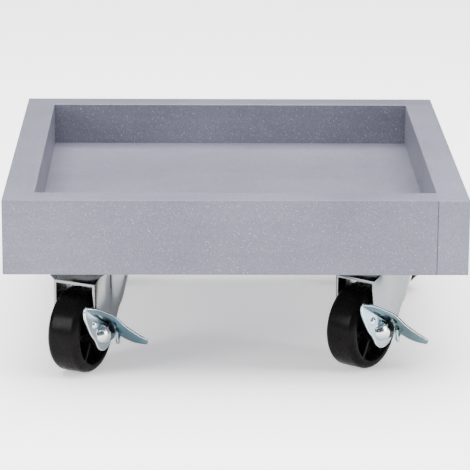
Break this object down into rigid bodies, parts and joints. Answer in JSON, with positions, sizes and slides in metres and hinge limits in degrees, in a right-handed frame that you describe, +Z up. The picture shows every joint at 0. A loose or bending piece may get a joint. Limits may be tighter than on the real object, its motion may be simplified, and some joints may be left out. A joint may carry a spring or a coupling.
{
  "type": "rolling plant caddy",
  "caption": "Square shallow tray of silver-grey painted boards on swivel casters, for rolling a potted plant; the front casters have side brake levers.",
  "frame": {"origin": "on the floor under the middle of the square tray", "axes": "+Z up; front, the side with the brake levers, towards -Y; +X to the right seen from the front"},
  "size_m": [0.267, 0.267, 0.1125],
  "materials": {
    "painted_wood": "silver-grey metallic paint with a fine speckle, low sheen",
    "beech_dowel": "plain beech",
    "zinc_sheet": "bright zinc plate on pressed sheet",
    "zinc_steel": "bright zinc plate on turned steel",
    "zinc_screw": "zinc-plated wood screws",
    "steel_ball": "polished steel balls",
    "black_wheel": "glossy black moulded plastic"
  },
  "bodies": {
    "tray": {"front_board": "painted_wood", "right_board": "painted_wood", "back_board": "painted_wood", "left_board": "painted_wood", "floor_panel": "painted_wood", "corner_dowels": "beech_dowel", "floor_dowels": "beech_dowel", "top_plate_front_left": "zinc_sheet", "plate_screws_front_left": "zinc_screw", "kingpin_front_left": "zinc_steel", "king_washer_front_left": "zinc_steel", "top_plate_front_right": "zinc_sheet", "plate_screws_front_right": "zinc_screw", "kingpin_front_right": "zinc_steel", "king_washer_front_right": "zinc_steel", "top_plate_rear_left": "zinc_sheet", "plate_screws_rear_left": "zinc_screw", "kingpin_rear_left": "zinc_steel", "king_washer_rear_left": "zinc_steel", "top_plate_rear_right": "zinc_sheet", "plate_screws_rear_right": "zinc_screw", "kingpin_rear_right": "zinc_steel", "king_washer_rear_right": "zinc_steel"},
    "front_left_swivel": {"fork_front_left": "zinc_sheet", "swivel_balls_front_left": "steel_ball", "axle_sleeve_front_left": "zinc_steel", "axle_bolt_front_left": "zinc_steel", "brake_washer_front_left": "zinc_steel", "cam_pin_front_left": "zinc_steel"},
    "front_left_wheel": {"wheel_front_left": "black_wheel"},
    "front_left_brake": {"brake_lever_front_left": "zinc_sheet"},
    "front_right_swivel": {"fork_front_right": "zinc_sheet", "swivel_balls_front_right": "steel_ball", "axle_sleeve_front_right": "zinc_steel", "axle_bolt_front_right": "zinc_steel", "brake_washer_front_right": "zinc_steel", "cam_pin_front_right": "zinc_steel"},
    "front_right_wheel": {"wheel_front_right": "black_wheel"},
    "front_right_brake": {"brake_lever_front_right": "zinc_sheet"},
    "rear_left_swivel": {"fork_rear_left": "zinc_sheet", "swivel_balls_rear_left": "steel_ball", "axle_sleeve_rear_left": "zinc_steel", "axle_bolt_rear_left": "zinc_steel", "axle_nut_rear_left": "zinc_steel"},
    "rear_left_wheel": {"wheel_rear_left": "black_wheel"},
    "rear_right_swivel": {"fork_rear_right": "zinc_sheet", "swivel_balls_rear_right": "steel_ball", "axle_sleeve_rear_right": "zinc_steel", "axle_bolt_rear_right": "zinc_steel", "axle_nut_rear_right": "zinc_steel"},
    "rear_right_wheel": {"wheel_rear_right": "black_wheel"}
  },
  "joints": [
    {"name": "front_left_swivel", "type": "hinge", "parent": "tray", "child": "front_left_swivel", "pos_m": [-0.0825, -0.0825, 0.0607], "axis": [0, 0, 1], "continuous": true},
    {"name": "front_left_roll", "type": "hinge", "parent": "front_left_swivel", "child": "front_left_wheel", "pos_m": [-0.09039, -0.09868, 0.025], "axis": [0.8988, -0.4384, 0], "continuous": true},
    {"name": "front_left_brake", "type": "hinge", "parent": "front_left_swivel", "child": "front_left_brake", "pos_m": [-0.09039, -0.09868, 0.025], "axis": [-0.8988, 0.4384, 0], "range_deg": [0, 20]},
    {"name": "front_right_swivel", "type": "hinge", "parent": "tray", "child": "front_right_swivel", "pos_m": [0.0865, -0.0755, 0.0607], "axis": [0, 0, 1], "continuous": true},
    {"name": "front_right_roll", "type": "hinge", "parent": "front_right_swivel", "child": "front_right_wheel", "pos_m": [0.07567, -0.08988, 0.025], "axis": [0.7986, -0.6018, 0], "continuous": true},
    {"name": "front_right_brake", "type": "hinge", "parent": "front_right_swivel", "child": "front_right_brake", "pos_m": [0.07567, -0.08988, 0.025], "axis": [-0.7986, 0.6018, 0], "range_deg": [0, 20]},
    {"name": "rear_left_swivel", "type": "hinge", "parent": "tray", "child": "rear_left_swivel", "pos_m": [-0.0825, 0.0805, 0.0607], "axis": [0, 0, 1], "continuous": true},
    {"name": "rear_left_roll", "type": "hinge", "parent": "rear_left_swivel", "child": "rear_left_wheel", "pos_m": [-0.09629, 0.06893, 0.025], "axis": [0.6428, -0.766, 0], "continuous": true},
    {"name": "rear_right_swivel", "type": "hinge", "parent": "tray", "child": "rear_right_swivel", "pos_m": [0.0865, 0.0805, 0.0607], "axis": [0, 0, 1], "continuous": true},
    {"name": "rear_right_roll", "type": "hinge", "parent": "rear_right_swivel", "child": "rear_right_wheel", "pos_m": [0.10319, 0.07376, 0.025], "axis": [0.3746, 0.9272, 0], "continuous": true}
  ]
}
